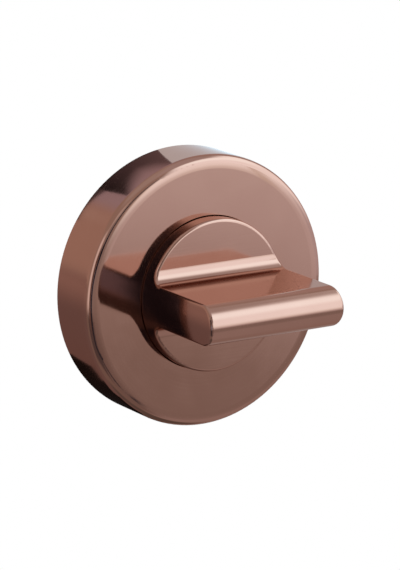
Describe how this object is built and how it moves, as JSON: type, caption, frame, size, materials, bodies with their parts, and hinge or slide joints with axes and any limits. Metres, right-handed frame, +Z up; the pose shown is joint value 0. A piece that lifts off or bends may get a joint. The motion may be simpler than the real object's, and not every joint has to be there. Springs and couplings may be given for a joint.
{
  "type": "bathroom thumb turn lock",
  "caption": "Round concealed-fix door rose with a flat-bladed thumb turn that drives a square spindle a quarter turn to throw a privacy bolt.",
  "frame": {"origin": "on the turn's axis, in the plane where the rose lies on the door", "axes": "+Y into the door along the spindle, -Y out towards the hand, +Z up the door, +X to the right as seen by the user"},
  "size_m": [0.052, 0.067, 0.052],
  "materials": {
    "polished_copper_plate": "polished",
    "die_cast_zinc": "satin",
    "moulded_nylon": "matte",
    "hardened_steel": "satin",
    "spring_steel": "satin",
    "zinc_plated_steel": "satin"
  },
  "bodies": {
    "rose": {"rose_cover": "polished_copper_plate", "inner_rose": "die_cast_zinc", "bearing_bush": "moulded_nylon", "disc_spring": "spring_steel", "snap_ring": "spring_steel", "connecting_bolts": "zinc_plated_steel"},
    "turn": {"thumb_turn": "polished_copper_plate", "stop_pin": "hardened_steel", "thrust_washer": "zinc_plated_steel", "retaining_ring": "spring_steel", "spindle": "zinc_plated_steel", "spindle_grub_screw": "hardened_steel"}
  },
  "joints": [
    {"name": "quarter_turn", "type": "hinge", "parent": "rose", "child": "turn", "pos_m": [0, 0, 0], "axis": [0, -1, 0], "range_deg": [0, 90]}
  ]
}
